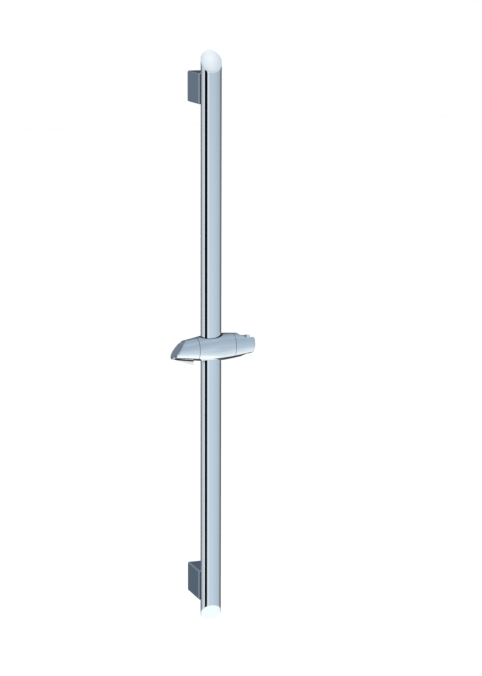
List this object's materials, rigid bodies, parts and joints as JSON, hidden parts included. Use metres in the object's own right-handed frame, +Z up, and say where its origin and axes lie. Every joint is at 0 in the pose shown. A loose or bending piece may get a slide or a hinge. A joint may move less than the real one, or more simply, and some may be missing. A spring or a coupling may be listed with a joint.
{
  "type": "shower slide rail",
  "caption": "Wall-mounted chrome shower rail: a mitre-ended tube on box brackets, with a lever-released slider that swivels and tilts a forked hand shower holder.",
  "frame": {"origin": "on the wall plane, midway between the two wall screws", "axes": "+Z up along the tube, +Y into the wall, +X along the wall towards the hand shower holder"},
  "size_m": [0.103, 0.0726, 0.701],
  "materials": {
    "polished_chrome": "mirror-polished chrome plate",
    "screw_steel": "bright zinc-plated steel",
    "grey_plastic": "moulded grey plastic",
    "pale_plastic": "moulded pale plastic",
    "dark_plastic": "moulded dark plastic",
    "black_rubber": "matt black rubber"
  },
  "bodies": {
    "rail": {"rail_tube": "polished_chrome", "upper_end_cap": "polished_chrome", "lower_end_cap": "polished_chrome", "upper_bracket": "polished_chrome", "lower_bracket": "polished_chrome", "upper_tube_seat": "dark_plastic", "lower_tube_seat": "dark_plastic", "upper_wall_plate": "grey_plastic", "lower_wall_plate": "grey_plastic", "bracket_grub_screws": "screw_steel", "tube_screws": "screw_steel", "tube_nuts": "screw_steel"},
    "bushes": {"upper_bush": "dark_plastic", "lower_bush": "dark_plastic"},
    "slider": {"slider_body": "polished_chrome", "grip_end": "polished_chrome", "grip_end_cap": "polished_chrome", "grip_screws": "screw_steel", "lever_pin": "screw_steel", "holder_washer": "screw_steel", "holder_screw": "screw_steel"},
    "lever": {"release_lever": "pale_plastic"},
    "brake": {"brake_shoe": "dark_plastic", "brake_pad": "black_rubber", "brake_spring": "screw_steel"},
    "holder": {"shower_holder": "polished_chrome", "holder_ring": "black_rubber"}
  },
  "joints": [
    {"name": "slider_travel", "type": "slide", "parent": "rail", "child": "bushes", "axis": [0, 0, 1], "range_m": [-0.26, 0.275]},
    {"name": "slider_swivel", "type": "hinge", "parent": "bushes", "child": "slider", "pos_m": [0, -0.052, -0.006], "axis": [0, 0, 1], "range_deg": [-240, 60]},
    {"name": "lever_press", "type": "hinge", "parent": "slider", "child": "lever", "pos_m": [-0.04099, -0.052, -0.013], "axis": [0, -1, 0], "range_deg": [0, 5], "stiffness_Nm_per_rad": 1.2, "springref_deg": -4.58},
    {"name": "brake_release", "type": "slide", "parent": "slider", "child": "brake", "axis": [-1, 0, 0], "range_m": [0, 0.00065], "deforming": ["brake_spring"]},
    {"name": "holder_tilt", "type": "hinge", "parent": "slider", "child": "holder", "pos_m": [0.027, -0.052, -0.00492], "axis": [1, 0, 0], "continuous": true}
  ],
  "couplings": [
    {"joint": "brake_release", "follows": "lever_press", "m_per_rad": 0.007}
  ]
}
